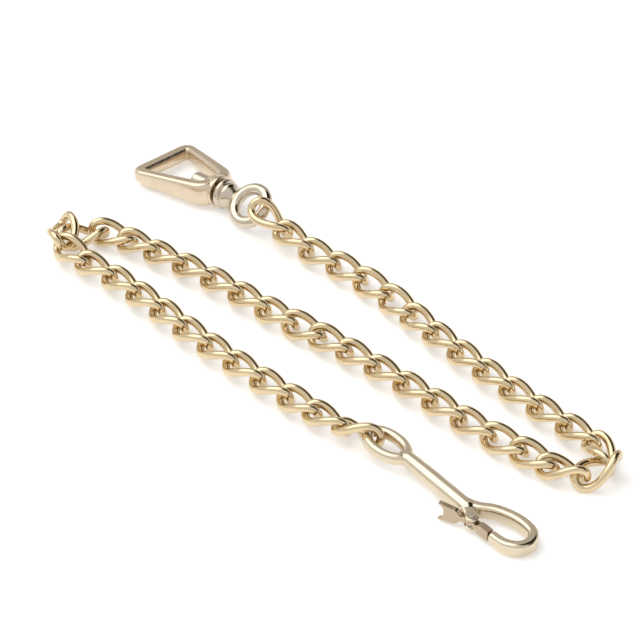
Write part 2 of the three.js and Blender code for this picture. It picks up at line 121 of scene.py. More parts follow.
# Snap: x runs from the eye to the hook's bow, with x = 0 in the middle of the eye.
PIVOT = (41.6 * MM, -4.3 * MM)
EYE_JOINT_X = -7.8 * MM
EYE_HALF_LENGTH = 7.8 * MM
EYE_HALF_WIDTH = 4.3 * MM
EYE_ROD_WIDTH = 3.4 * MM
EYE_ROD_HEIGHT = 3.9 * MM
EYE_STEPS = 80
BARREL_START = (8 * MM, 0.5 * MM)
BARREL_END = (39 * MM, -1.5 * MM)
BARREL_RADIUS = 2.7 * MM
HOOK_PATH = [
    (33, -1.2), (38.5, 0.4), (43.6, 4), (50.5, 6), (57, 5.4), (60, 2), (59.2, -2.2),
    (55.4, -4.5), (50.4, -4.6),
]
HOOK_ROD_WIDTH = 3.6 * MM
HOOK_ROD_HEIGHT = 4.8 * MM
HOOK_STEPS = 9
HOOK_TAPER_START = 0.8
HOOK_END_SIZE = (0.88, 0.82)
HOOK_END_DOME = 0.35 * MM
SNAP_GRAIN = 0.2 * MM
SNAP_SOFTNESS = 8
SLOT_HALF_HEIGHT = 1.35 * MM
EAR_THICKNESS = 0.8 * MM
EAR_RADIUS = 2.1 * MM
EAR_ROOT = (37 * MM, -2 * MM)
RIVET_RADIUS = 0.8 * MM
RIVET_HEAD_RADIUS = 1.1 * MM
RIVET_HEAD_HEIGHT = 0.25 * MM
RIVET_GAP = 0.1 * MM
GAP = 0.3 * MM
HUB_RADIUS = 2.0 * MM
LEVER_HALF_HEIGHT = 1.05 * MM
LEVER_NECK = 0.85 * MM
LEVER_NECK_END = 1.4 * MM
LEVER_GRAIN = 0.13 * MM
LEVER_SOFTNESS = 9
SPRING_HEIGHT = 0.7 * MM
SPRING_WIRE_RADIUS = 0.17 * MM
SPRING_RISE = 0.12 * MM
SPRING_TURNS = 1.45
SPRING_STEPS = 90
GATE_TIP = (49.7 * MM, -4.6 * MM)
GATE_WIDTH = 2.6 * MM
GATE_HALF_HEIGHT = 1.7 * MM
TAIL_TIP = (31.4 * MM, -8.2 * MM)
TAIL_THICKNESS = 1.9 * MM
THUMB_HALF_HEIGHT = 3.0 * MM
THUMB_NOTCH = 2.6 * MM
SLOT_BACK = (31 * MM, -9.6 * MM)
SLOT_FRONT = (50 * MM, -0.6 * MM)
THROUGH = 8 * MM

# Rounded rod ends: steps from side to tip, and the tip's size as a share of the rod's.
DOME_STEPS = 6
DOME_TIP = 0.02

# Camera: a long lens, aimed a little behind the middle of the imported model.
VIEW_ELEVATION = math.radians(36)
VIEW_DISTANCE = 1.0
VIEW_AIM_SHIFT = Vector((-0.07, 11.25, 0.1)) * MM
VIEW_LENS = 174.375
VIEW_SENSOR = 36

# Light round the object, as patches: middle direction, inner and outer reach in degrees, colour.
ROOM_LIGHT = (0.82, 0.82, 0.82)
STUDIO = [
    ((0.05, 0.93, 0.45), 12, 34, (0.56, 0.54, 0.52)),
    ((-0.45, 0.15, 0.88), 22, 37, (2.1, 2.1, 2.07)),
    ((0.55, 0.28, 0.78), 23, 31, (0.03, 0.02, 0.006)),
    ((0.86, -0.25, 0.44), 8, 20, (0.07, 0.05, 0.03)),
]
FLOOR_REACH = 6.0
FLOOR_TONE = (0.95, 0.95, 0.95)
FLOOR_ROUGHNESS = 0.9
FLOOR_GLOW = 0.3

# Metals: base tone, and the tone of their hollows, which is painted shade with some tarnish.
CHAMPAGNE = (0.73, 0.585, 0.37)
PALE_CHAMPAGNE = (0.71, 0.61, 0.455)
TAN_CHAMPAGNE = (0.52, 0.41, 0.29)
ROSE_CHAMPAGNE = (0.72, 0.60, 0.45)
GREY_CHAMPAGNE = (0.64, 0.56, 0.45)
STEEL = (0.62, 0.61, 0.59)
# The two tones below darken the metals' hollows: painted shade, with some tarnish.
TARNISH_AND_PAINTED_SHADE = (0.30, 0.21, 0.12)
PAINTED_SHADE_STEEL = (0.2, 0.19, 0.18)

# Their surface: noise scales in repeats for each metre, bands as the values between which a noise or
# the surface's sharpness starts and ends to tell, tints as factors on the base tone, and bumps as
# (strength, depth).
CLOUD_SCALE = 140.0
CLOUD_STOPS = (0.3, 0.5, 0.72)
CLOUD_TINTS = (0.93, 1.05)
WORN_TINT = 1.12
SCRATCH_BAND = (0.62, 0.74)
HOLLOW_BAND = (0.40, 0.50)
EDGE_BAND = (0.53, 0.62)
HAZE_BAND = (0.3, 0.7)
HAZE_ROUGHNESS = (0.8, 1.35)
HAZE_SCALE = 420.0
SCRATCH_TURN = (0.3, 0.5, 0.7)
SCRATCH_SCALE = (160.0, 2600.0, 900.0)
SCRATCH_ROUGHNESS = 0.10
HOLLOW_ROUGHNESS = 0.22
EDGE_WEAR = 0.5
PIECE_SPREAD = 37.0
SKIN_BUMP = (0.10, 0.4 * MM)
SCRATCH_BUMP = (0.05, 0.05 * MM)


# ---------- mesh tools ----------

def signed_power(value, power):
    return math.copysign(abs(value) ** power, value)


def section(sides, half_width, half_height, fullness=2.0, below=None):
    """Points round a rod's section: an ellipse, or squarer as fullness grows past 2. below is the
    fullness of its lower half, where that differs."""
    points = []
    for i in range(sides):
        angle = 2 * math.pi * i / sides
        squareness = below if below and angle > math.pi else fullness
        across = half_width * signed_power(math.cos(angle), 2 / squareness)
        up = half_height * signed_power(math.sin(angle), 2 / squareness)
        points.append((across, up))
    return points


def skin(rings, closed):
    """A bmesh skinned over rings of points. An open one is closed by a face at each end."""
    bm = bmesh.new()
    rows = [[bm.verts.new(point) for point in ring] for ring in rings]
    count = len(rows)
    for i in range(count if closed else count - 1):
        here = rows[i]
        there = rows[(i + 1) % count]
        sides = len(here)
        for k in range(sides):
            after = (k + 1) % sides
            bm.faces.new((here[k], here[after], there[after], there[k]))
    if not closed:
        bm.faces.new(rows[0][::-1])
        bm.faces.new(rows[-1])
    bmesh.ops.remove_doubles(bm, verts=bm.verts, dist=1e-7)
    bmesh.ops.dissolve_degenerate(bm, edges=bm.edges, dist=1e-8)
    bmesh.ops.recalc_face_normals(bm, faces=bm.faces)
    return bm


def smooth_route(points, steps):
    """A Catmull-Rom curve through points, with steps places on each stretch."""
    route = []
    count = len(points)
    for i in range(count - 1):
        start = points[i]
        end = points[i + 1]
        before = points[i - 1] if i else start * 2 - end
        after = points[i + 2] if i + 2 < count else end * 2 - start
        for k in range(steps):
            t = k / steps
            place = start * 2 + (end - before) * t
            place += (before * 2 - start * 5 + end * 4 - after) * t ** 2
            place += (start * 3 - before - end * 3 + after) * t ** 3
            route.append(place * 0.5)
    route.append(points[-1].copy())
    return route


def steady(value):
    """A size that is the same all the way along a rod."""
    return lambda share: value


def level_rod(route, half_width, half_height, sides=20, fullness=2.0, closed=False, dome=0.0):
    """A rod along a route in the local plane z = 0. half_width and half_height are functions of
    the share of the way along it; dome is how far its two rounded ends stand out."""
    count = len(route)
    rings = []
    for i, centre in enumerate(route):
        before = route[(i - 1) % count] if closed or i else centre
        after = route[(i + 1) % count] if closed or i + 1 < count else centre
        tangent = (after - before).normalized()
        side = Vector((tangent.y, -tangent.x, 0))
        share = i / (count if closed else count - 1)
        outline = section(sides, half_width(share), half_height(share), fullness)
        ends = [(0.0, 1.0)]
        if dome and not closed and i in (0, count - 1):
            turns = [math.pi / 2 * k / DOME_STEPS for k in range(DOME_STEPS + 1)]
            ends = [(math.sin(turn) * dome, max(math.cos(turn), DOME_TIP)) for turn in turns]
            if i == 0:
                ends = [(-reach, size) for reach, size in ends[::-1]]
        for reach, size in ends:
            middle = centre + tangent * reach
            rings.append([
                middle + side * across * size + Vector((0, 0, up * size)) for across, up in outline
            ])
    return skin(rings, closed)


def turned(profile, sides=48):
    """A turning about the local x axis, from (x, radius) pairs."""
    rings = []
    for x, radius in profile:
        ring = []
        for k in range(sides):
            angle = 2 * math.pi * k / sides
            ring.append(Vector((x, radius * math.cos(angle), radius * math.sin(angle))))
        rings.append(ring)
    return skin(rings, False)


def rounded(profile, radius, steps=5):
    """A profile of (x, radius) pairs with each inner corner replaced by an arc-like curve."""
    points = [Vector((x, r)) for x, r in profile]
    result = [points[0]]
    for before, corner, after in zip(points, points[1:], points[2:]):
        reach = min(radius, (before - corner).length * 0.48, (after - corner).length * 0.48)
        start = corner + (before - corner).normalized() * reach
        end = corner + (after - corner).normalized() * reach
        for k in range(steps + 1):
            t = k / steps
            result.append(start.lerp(corner, t).lerp(corner.lerp(end, t), t))
    result.append(points[-1])
    return [(point.x, point.y) for point in result]


def stand_up(bm, pivot=(0, 0)):
    """Turns a turning about x into one about an upright line through pivot."""
    bm.transform(Matrix.Translation((pivot[0], pivot[1], 0)) @ Matrix.Rotation(-math.pi / 2, 4, "Y"))
    return bm


def join(parts):
    """Several bmeshes as one."""
    whole = bmesh.new()
    for part in parts:
        piece = bpy.data.meshes.new("part")
        part.to_mesh(piece)
        part.free()
        whole.from_mesh(piece)
        bpy.data.meshes.remove(piece)
    return whole


def new_object(name, bm):
    mesh = bpy.data.meshes.new(name)
    bm.to_mesh(mesh)
    bm.free()
    obj = bpy.data.objects.new(name, mesh)
    bpy.context.scene.collection.objects.link(obj)
    return obj


def settle_modifiers(obj):
    """Applies obj's modifiers to its mesh."""
    bpy.context.view_layer.update()
    shaped = obj.evaluated_get(bpy.context.evaluated_depsgraph_get())
    mesh = bpy.data.meshes.new_from_object(shaped)
    old = obj.data
    obj.modifiers.clear()
    obj.data = mesh
    bpy.data.meshes.remove(old)
    mesh.name = obj.name


def cut(obj, bm):
    """Cuts the space that bm fills out of obj."""
    tool = new_object("tool", bm)
    modifier = obj.modifiers.new("cut", "BOOLEAN")
    modifier.operation = "DIFFERENCE"
    modifier.solver = "MANIFOLD"
    modifier.object = tool
    settle_modifiers(obj)
    mesh = tool.data
    bpy.data.objects.remove(tool)
    bpy.data.meshes.remove(mesh)


def cast(obj, grain, softness):
    """Fuses obj's overlapping solids into one skin and softens its edges, as casting and polishing
    do. grain is the size of its faces, and softness the number of times that they are evened out."""
    fuse = obj.modifiers.new("fuse", "REMESH")
    fuse.mode = "VOXEL"
    fuse.voxel_size = grain
    soften = obj.modifiers.new("soften", "SMOOTH")
    soften.factor = 0.5
    soften.iterations = softness
    settle_modifiers(obj)


def finished(obj, material, frame_matrix, body, node):
    """Places a piece, gives it its metal, and hands it to the frame."""
    obj.data.materials.clear()
    obj.data.materials.append(material)
    obj.data.polygons.foreach_set("use_smooth", [True] * len(obj.data.polygons))
    obj.matrix_world = frame_matrix
    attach(obj, body)
    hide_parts(node)
    return obj


# ---------- frames of the sub-assemblies ----------

def basis(x_axis, y_axis, z_axis, origin):
    matrix = Matrix.Identity(4)
    for column, axis in enumerate((x_axis, y_axis, z_axis)):
        for row in range(3):
            matrix[row][column] = axis[row]
    matrix.translation = origin
    return matrix


def joint_named(name):
    return next(joint for joint in frame["joints"] if joint["name"] == name)


def swivel_frame():
    """The swivel's own frame, from the joint it spins on."""
    spin = joint_named("swivel_spin")
    x_axis = Vector(spin["axis"]).normalized()
    ring = Vector(joint_named("ring_on_link_01")["pos_m"])
    middle = Vector(spin["pos_m"])
    if (ring - middle).dot(x_axis) < 0:
        x_axis = -x_axis
    y_axis = Vector((0, 0, 1)).cross(x_axis).normalized()
    z_axis = x_axis.cross(y_axis)
    return basis(x_axis, y_axis, z_axis, middle - x_axis * SWIVEL_JOINT_X)


def snap_frame():
    """The snap's own frame, from its eye and the lever's pivot."""
    pivot_joint = joint_named("trigger_pivot")
    z_axis = Vector(pivot_joint["axis"]).normalized()
    if z_axis.z < 0:
        z_axis = -z_axis
    pivot = Vector(pivot_joint["pos_m"])
    eye = Vector(joint_named("eye_on_link_46")["pos_m"])
    line = (pivot - eye) - z_axis * (pivot - eye).dot(z_axis)
    lean = math.atan2(-PIVOT[1], PIVOT[0] - EYE_JOINT_X)
    x_axis = Matrix.Rotation(lean, 3, z_axis) @ line.normalized()
    y_axis = z_axis.cross(x_axis)
    return basis(x_axis, y_axis, z_axis, pivot - x_axis * PIVOT[0] - y_axis * PIVOT[1])


def link_frame(node):
    """A link's own frame: its middle, and the directions in which its skin spreads most and least.
    A half turn about any of the three leaves a link as it was, so their signs are free."""
    mesh = frame["nodes"][node].data
    mesh.calc_loop_triangles()
    points = np.array([vertex.co for vertex in mesh.vertices])
    corners = points[np.array([triangle.vertices for triangle in mesh.loop_triangles])]
    edges = corners[:, 1:] - corners[:, :1]
    areas = np.linalg.norm(np.cross(edges[:, 0], edges[:, 1]), axis=1) / 2
    middle = (corners.mean(axis=1) * areas[:, None]).sum(axis=0) / areas.sum()
    spread = np.zeros((3, 3))
    for area, triangle in zip(areas, corners - middle):
        total = triangle.sum(axis=0)
        spread += area / 12 * (triangle.T @ triangle + np.outer(total, total))
    directions = np.linalg.eigh(spread)[1]
    x_axis = Vector(directions[:, 2])
    y_axis = Vector(directions[:, 1])
    return basis(x_axis, y_axis, x_axis.cross(y_axis), Vector(middle))


# ---------- materials ----------

class Nodes:
    """A shorthand for a material's node tree."""

    def __init__(self, material):
        material.use_nodes = True
        self.tree = material.node_tree
        self.shader = self.tree.nodes["Principled BSDF"]

    def add(self, kind, inputs=None, **settings):
        node = self.tree.nodes.new(kind)
        for name, value in settings.items():
            setattr(node, name, value)
        for name, value in (inputs or {}).items():
            if isinstance(value, bpy.types.NodeSocket):
                self.tree.links.new(value, node.inputs[name])
            else:
                node.inputs[name].default_value = value
        return node

    def feed(self, socket, output):
        self.tree.links.new(output, self.shader.inputs[socket])

    def ramp(self, factor, stops):
        node = self.add("ShaderNodeValToRGB", {"Fac": factor})
        elements = node.color_ramp.elements
        while len(elements) < len(stops):
            elements.new(0.5)
        for element, (place, colour) in zip(elements, stops):
            element.position = place
            element.color = (*colour, 1)
        return node.outputs["Color"]


def tint(colour, factor):
    return tuple(min(1.0, channel * factor) for channel in colour)


def cloudy_noise(nodes, place, shift, scale, detail):
    """Noise that differs from piece to piece, because shift does."""
    inputs = {"Vector": place, "W": shift, "Scale": scale, "Detail": detail}
    return nodes.add("ShaderNodeTexNoise", inputs, noise_dimensions="4D").outputs["Fac"]


def spread_range(nodes, value, start, end, low, high):
    """Maps value from start..end to low..high, and holds it there beyond them."""
    inputs = {"Value": value, "From Min": start, "From Max": end, "To Min": low, "To Max": high}
    return nodes.add("ShaderNodeMapRange", inputs).outputs["Result"]


def bump(nodes, height, strength, depth, below=None, invert=False):
    inputs = {"Height": height, "Strength": strength, "Distance": depth}
    if below:
        inputs["Normal"] = below
    return nodes.add("ShaderNodeBump", inputs, invert=invert).outputs["Normal"]


def multiply_add(nodes, value, factor, addend):
    inputs = {0: value, 1: factor, 2: addend}
    return nodes.add("ShaderNodeMath", inputs, operation="MULTIPLY_ADD").outputs[0]


def polished_metal(name, tone, recess, roughness):
    """Polished and lacquered metal: a tone that wanders a little, darkened in hollows as painted shade
    with some tarnish, paler on worn edges, with buffing haze, hairline scratches and a faintly uneven skin."""
    material = bpy.data.materials.new(name)
    nodes = Nodes(material)
    place = nodes.add("ShaderNodeTexCoord").outputs["Object"]
    piece = nodes.add("ShaderNodeObjectInfo").outputs["Random"]
    shift = nodes.add("ShaderNodeMath", {0: piece, 1: PIECE_SPREAD}, operation="MULTIPLY").outputs[0]

    cloud = cloudy_noise(nodes, place, shift, CLOUD_SCALE, 3.0)
    haze = cloudy_noise(nodes, place, shift, HAZE_SCALE, 5.0)
    stretched = nodes.add(
        "ShaderNodeMapping", {"Vector": place, "Rotation": SCRATCH_TURN, "Scale": SCRATCH_SCALE}
    ).outputs["Vector"]
    hairline = cloudy_noise(nodes, stretched, shift, 1.0, 4.0)
    scratch = spread_range(nodes, hairline, *SCRATCH_BAND, 0.0, 1.0)

    sharpness = nodes.add("ShaderNodeNewGeometry").outputs["Pointiness"]
    hollow = spread_range(nodes, sharpness, *HOLLOW_BAND, 1.0, 0.0)
    edge = spread_range(nodes, sharpness, *EDGE_BAND, 0.0, EDGE_WEAR)

    darker, paler = (tint(tone, factor) for factor in CLOUD_TINTS)
    tones = nodes.ramp(cloud, list(zip(CLOUD_STOPS, (darker, tone, paler))))
    # Painted shade: the tone darkens towards the hollow tone where the surface is hollow, with some
    # tarnish.
    shaded_hollows = mix_colour(nodes, hollow, tones, recess)
    worn = mix_colour(nodes, edge, shaded_hollows, tint(tone, WORN_TINT))
    nodes.feed("Base Color", worn)

    smooth, dull = (roughness * factor for factor in HAZE_ROUGHNESS)
    base_rough = spread_range(nodes, haze, *HAZE_BAND, smooth, dull)
    scratched = multiply_add(nodes, scratch, SCRATCH_ROUGHNESS, base_rough)
    nodes.feed("Roughness", multiply_add(nodes, hollow, HOLLOW_ROUGHNESS, scratched))

    skin_bump = bump(nodes, cloud, *SKIN_BUMP)
    nodes.feed("Normal", bump(nodes, scratch, *SCRATCH_BUMP, skin_bump, invert=True))
    nodes.shader.inputs["Metallic"].default_value = 1.0
    return material


def mix_colour(nodes, factor, first, second):
    """Mixes two colours, each a socket or a plain colour."""
    node = nodes.add("ShaderNodeMix", data_type="RGBA")
    nodes.tree.links.new(factor, node.inputs[0])
    for socket, value in ((node.inputs[6], first), (node.inputs[7], second)):
        if isinstance(value, bpy.types.NodeSocket):
            nodes.tree.links.new(value, socket)
        else:
            socket.default_value = (*value, 1)
    return node.outputs[2]


# Each metal's second tone is painted shade in its hollows, with some tarnish.
LINK_METAL = polished_metal("link_metal", CHAMPAGNE, TARNISH_AND_PAINTED_SHADE, 0.13)
CAST_METAL = polished_metal("cast_metal", ROSE_CHAMPAGNE, TARNISH_AND_PAINTED_SHADE, 0.23)
RING_METAL = polished_metal("ring_metal", GREY_CHAMPAGNE, TARNISH_AND_PAINTED_SHADE, 0.14)
SNAP_METAL = polished_metal("snap_metal", PALE_CHAMPAGNE, TARNISH_AND_PAINTED_SHADE, 0.15)
LEVER_METAL = polished_metal("lever_metal", TAN_CHAMPAGNE, TARNISH_AND_PAINTED_SHADE, 0.18)
RIVET_METAL = polished_metal("rivet_metal", GREY_CHAMPAGNE, TARNISH_AND_PAINTED_SHADE, 0.20)
SPRING_METAL = polished_metal("spring_metal", STEEL, PAINTED_SHADE_STEEL, 0.25)


# ---------- chain ----------

def link_centre(angle):
    along = signed_power(math.cos(angle), 2 / LINK_FULLNESS)
    across = LINK_HALF_WIDTH * signed_power(math.sin(angle), 2 / LINK_FULLNESS)
    twist = LINK_END_TWIST * along
    return Vector((LINK_HALF_LENGTH * along, across * math.cos(twist), across * math.sin(twist)))


def even_places(curve, count):
    """count places spread evenly by length round a closed curve, given as a function of the angle."""
    samples = count * CURVE_SAMPLES
    points = [curve(2 * math.pi * i / samples) for i in range(samples)]
    lengths = [0.0]
    for i in range(samples):
        lengths.append(lengths[-1] + (points[(i + 1) % samples] - points[i]).length)
    places = []
    at = 0
    for k in range(count):
        wanted = lengths[-1] * k / count
        while lengths[at + 1] < wanted:
            at += 1
        share = (wanted - lengths[at]) / (lengths[at + 1] - lengths[at])
        ahead = (at + 1) % samples
        places.append(points[at].lerp(points[ahead], share))
    return places


def link_mesh():
    centres = even_places(link_centre, LINK_STEPS)
    rings = []
    for i, centre in enumerate(centres):
        tangent = (centres[(i + 1) % LINK_STEPS] - centres[i - 1]).normalized()
        outward = (centre - tangent * centre.dot(tangent)).normalized()
        side = tangent.cross(outward)
        ring = []
        for k in range(LINK_SIDES):
            angle = 2 * math.pi * k / LINK_SIDES
            reach = outward * math.cos(angle) + side * math.sin(angle)
            ring.append(centre + reach * LINK_WIRE_RADIUS)
        rings.append(ring)
    bm = skin(rings, True)
    mesh = bpy.data.meshes.new("curb_link")
    bm.to_mesh(mesh)
    bm.free()
    return mesh


def chain():
    mesh = link_mesh()
    for number in range(1, LINK_COUNT + 1):
        node = f"link_{number:02d}"
        obj = bpy.data.objects.new(f"curb_{node}", mesh)
        bpy.context.scene.collection.objects.link(obj)
        finished(obj, LINK_METAL, link_frame(node), node, node)


# ---------- swivel ----------

def trapezium_route(inset, corner, steps=7):
    """The strap loop's centreline: a trapezium with rounded corners. corner holds how far the
    rounding of its far and its near corners reaches."""
    far = Vector((inset, LOOP_FAR_HALF - inset, 0))
    near = Vector((LOOP_LENGTH - inset, LOOP_NEAR_HALF - inset, 0))
    corners = [
        (Vector((far.x, -far.y, 0)), corner[0]), (Vector((near.x, -near.y, 0)), corner[1]),
        (near, corner[1]), (far, corner[0]),
    ]
    route = []
    for i, (point, reach) in enumerate(corners):
        before = corners[i - 1][0]
        after = corners[(i + 1) % 4][0]
        start = point + (before - point).normalized() * reach
        end = point + (after - point).normalized() * reach
        for k in range(steps + 1):
            t = k / steps
            route.append(start.lerp(point, t).lerp(point.lerp(end, t), t))
    return dense(route, LOOP_STEP)


def dense(route, step):
    """A closed route with more places on its straight stretches."""
    result = []
    for i, point in enumerate(route):
        after = route[(i + 1) % len(route)]
        count = max(1, round((after - point).length / step))
        for k in range(count):
            result.append(point.lerp(after, k / count))
    return result


def loop_share(x):
    return min(max(x / LOOP_LENGTH, 0), 1)


def loop_height(x):
    return LOOP_FAR_HEIGHT + (LOOP_NEAR_HEIGHT - LOOP_FAR_HEIGHT) * loop_share(x)


def bar_width(x):
    """The loop is broader at its strap bar, and its sides thicken towards the boss."""
    strap_bar = LOOP_BAR_SWELL * (1 - ease(x, *LOOP_BAR_SWELL_REACH))
    return LOOP_BAR * (1 + strap_bar + LOOP_SIDE_SWELL * loop_share(x) ** 2)


def facing(side, centre):
    """1 where side points out of the loop, and -1 where it points in."""
    middle = Vector((LOOP_LENGTH / 2, 0, 0))
    return 1 if side.dot(centre - middle) > 0 else -1


def loop_frame():
    """The loop's frame: its outer face keeps its place where the bar is broader or narrower."""
    half = LOOP_BAR / 2
    route = trapezium_route(half, (LOOP_FAR_CORNER, LOOP_NEAR_CORNER))
    rings = []
    count = len(route)
    for i, centre in enumerate(route):
        tangent = (route[(i + 1) % count] - route[i - 1]).normalized()
        side = Vector((tangent.y, -tangent.x, 0))
        height = loop_height(centre.x) / 2
        width = bar_width(centre.x)
        inward = side * (half - width / 2) * facing(side, centre)
        lift = Vector((0, 0, LOOP_FAR_LIFT * (1 - loop_share(centre.x))))
        middle = centre + inward + lift
        outline = section(32, width / 2, height, *LOOP_FULLNESS)
        rings.append([middle + side * across + Vector((0, 0, up)) for across, up in outline])
    return skin(rings, True)


def loop_boss():
    start = BOSS_START - 1.0 * MM
    return turned(rounded([
        (start, 0), (start, BOSS_RADIUS - 2 * MM),
        (BOSS_START + 1.4 * MM, BOSS_RADIUS - 0.6 * MM), (LOOP_LENGTH, BOSS_RADIUS), (LOOP_LENGTH, 0),
    ], 0.7 * MM), 64)


def shank_bore():
    start = BOSS_START - 3 * MM
    end = LOOP_LENGTH + 2 * MM
    return turned([(start, 0), (start, BORE_RADIUS), (end, BORE_RADIUS), (end, 0)])


def boss_recess():
    """The flared hollow in the boss's face, round the shank."""
    start = LOOP_LENGTH - RECESS_DEPTH
    end = LOOP_LENGTH + 1 * MM
    return turned([
        (start, 0), (start, RECESS_RADIUS - 0.6 * MM), (end, RECESS_RADIUS + 0.4 * MM), (end, 0),
    ], 64)


def strap_loop(place):
    obj = new_object("cast_strap_loop", join([loop_frame(), loop_boss()]))
    cast(obj, LOOP_GRAIN, LOOP_SOFTNESS)
    cut(obj, shank_bore())
    cut(obj, boss_recess())
    roll = Matrix.Rotation(LOOP_ROLL, 4, "X")
    finished(obj, CAST_METAL, place @ roll, "strap_loop", "strap_loop")


def torus(radius, wire, sides=20, steps=96):
    rings = []
    for i in range(steps):
        angle = 2 * math.pi * i / steps
        out = Vector((math.cos(angle), math.sin(angle), 0))
        rings.append([
            out * (radius + wire * math.cos(2 * math.pi * k / sides))
            + Vector((0, 0, wire * math.sin(2 * math.pi * k / sides)))
            for k in range(sides)
        ])
    return skin(rings, True)


def swivel_eye(place):
    dome_start = FLANGE_START + FLANGE_LENGTH
    dome_end = COLLAR_START + COLLAR_LENGTH
    profile = [
        (HEAD_START, 0), (HEAD_START, HEAD_RADIUS), (HEAD_END, HEAD_RADIUS), (HEAD_END, SHANK_RADIUS),
        (FLANGE_START, SHANK_RADIUS), (FLANGE_START, FLANGE_RADIUS), (dome_start - 0.5 * MM, FLANGE_RADIUS),
        (dome_start, COLLAR_RADIUS - 0.9 * MM), (dome_start + 0.6 * MM, COLLAR_RADIUS),
        (dome_end - 1.6 * MM, COLLAR_RADIUS - 0.3 * MM), (dome_end + 0.3 * MM, RING_WIRE_RADIUS),
        (dome_end + 1.6 * MM, RING_WIRE_RADIUS * 0.8), (dome_end + 1.8 * MM, 0),
    ]
    stem = turned(rounded(profile, 0.8 * MM), 72)
    ring = torus(RING_RADIUS, RING_WIRE_RADIUS)
    ring.transform(Matrix.Rotation(RING_TILT, 4, "X") @ Matrix.Translation((RING_CENTRE, 0, 0)))
    obj = new_object("swivel_ring_and_collar", join([stem, ring]))
    cast(obj, RING_GRAIN, RING_SOFTNESS)
    finished(obj, RING_METAL, place, "swivel_eye", "swivel_eye")


# ---------- snap ----------

def flat(points):
    return [Vector((x * MM, y * MM, 0)) for x, y in points]


def barrel():
    start = Vector((*BARREL_START, 0))
    end = Vector((*BARREL_END, 0))
    length = (end - start).length
    profile = [
        (-2.4 * MM, 0), (-2.4 * MM, 1.3 * MM), (0, 2.3 * MM), (3.5 * MM, BARREL_RADIUS - 0.2 * MM),
        (length * 0.4, BARREL_RADIUS), (length - 1.5 * MM, BARREL_RADIUS),
        (length, BARREL_RADIUS - 1 * MM), (length, 0),
    ]
    bm = turned(rounded(profile, 1.2 * MM), 56)
    heading = math.atan2(end.y - start.y, end.x - start.x)
    bm.transform(Matrix.Translation(start) @ Matrix.Rotation(heading, 4, "Z"))
    return bm


def eye():
    def line(angle):
        return Vector((EYE_HALF_LENGTH * math.cos(angle), EYE_HALF_WIDTH * math.sin(angle), 0))

    route = even_places(line, EYE_STEPS)
    return level_rod(route, steady(EYE_ROD_WIDTH / 2), steady(EYE_ROD_HEIGHT / 2), 20, 2.2, closed=True)


def hook():
    route = smooth_route(flat(HOOK_PATH), HOOK_STEPS)

    def tapered(size, end_size):
        def half(share):
            past = max(0, share - HOOK_TAPER_START) / (1 - HOOK_TAPER_START)
            return size / 2 * (1 - (1 - end_size) * past)

        return half

    half_width = tapered(HOOK_ROD_WIDTH, HOOK_END_SIZE[0])
    half_height = tapered(HOOK_ROD_HEIGHT, HOOK_END_SIZE[1])
    return level_rod(route, half_width, half_height, 28, 3.2, dome=HOOK_END_DOME)


def slab(start, end, reach, half_height, thickness, notch=0.0, across=10, along=30):
    """An upright plate from start towards end in the local plane: half_height(share) tall either way,
    its far end hollowed by notch."""
    line = Vector((end[0] - start[0], end[1] - start[1], 0))
    run = line.length
    line.normalize()
    side = Vector((-line.y, line.x, 0)) * thickness / 2
    origin = Vector((start[0], start[1], 0))
    rings = []
    for i in range(along + 1):
        share = i / along
        top = []
        for k in range(across + 1):
            level = 2 * k / across - 1
            far = run - notch * (1 - level ** 2)
            distance = reach + (far - reach) * share
            height = level * half_height(distance / run)
            top.append(origin + line * distance + Vector((0, 0, height)))
        rings.append([point + side for point in top] + [point - side for point in top[::-1]])
    return skin(rings, False)


def ease(value, start, end):
    """0 before start, 1 after end, and smooth between."""
    share = min(max((value - start) / (end - start), 0), 1)
    return share * share * (3 - 2 * share)


def upright(radius, low, high, sides=40):
    return stand_up(turned([(low, 0), (low, radius), (high, radius), (high, 0)], sides), PIVOT)


def rivet_hole():
    return upright(RIVET_RADIUS + GAP, -THROUGH, THROUGH)


def lever_slot():
    """The room that the lever turns in, as three tools."""
    reach = HUB_RADIUS + 2 * GAP
    hub = upright(reach, -SLOT_HALF_HEIGHT, SLOT_HALF_HEIGHT)
    tall = steady(SLOT_HALF_HEIGHT)
    back = slab(PIVOT, SLOT_BACK, 0, tall, 2 * reach)
    front = slab(PIVOT, SLOT_FRONT, 0, tall, 2 * reach)
    return [hub, back, front]


def snap_body(place):
    top = SLOT_HALF_HEIGHT + EAR_THICKNESS
    ear_line = [Vector((*EAR_ROOT, 0)), Vector((*PIVOT, 0))]
    ears = level_rod(ear_line, steady(EAR_RADIUS), steady(top), 24, 4.0)
    ear_end = upright(EAR_RADIUS, -top, top)
    obj = new_object("snap_hook_body", join([eye(), barrel(), hook(), ears, ear_end]))
    cast(obj, SNAP_GRAIN, SNAP_SOFTNESS)
    for part in lever_slot():
        cut(obj, part)
    cut(obj, rivet_hole())
    finished(obj, SNAP_METAL, place, "snap", "snap_body")


def trigger_lever(place):
    low = -LEVER_HALF_HEIGHT + SPRING_HEIGHT
    hub = upright(HUB_RADIUS, low, LEVER_HALF_HEIGHT)

    def gate_height(share):
        return LEVER_NECK + (GATE_HALF_HEIGHT - LEVER_NECK) * ease(share, 0.30, 0.48)

    def thumb_height(share):
        risen = 0.75 * ease(share, 0.28, 0.48) + 0.25 * ease(share, 0.4, 1.0)
        return LEVER_NECK + (THUMB_HALF_HEIGHT - LEVER_NECK) * risen

    gate = slab(PIVOT, GATE_TIP, LEVER_NECK_END, gate_height, GATE_WIDTH)
    tail = slab(PIVOT, TAIL_TIP, LEVER_NECK_END, thumb_height, TAIL_THICKNESS, THUMB_NOTCH)
    obj = new_object("snap_trigger_lever", join([hub, gate, tail]))
    cast(obj, LEVER_GRAIN, LEVER_SOFTNESS)
    cut(obj, rivet_hole())
    finished(obj, LEVER_METAL, place, "trigger", "trigger_lever")


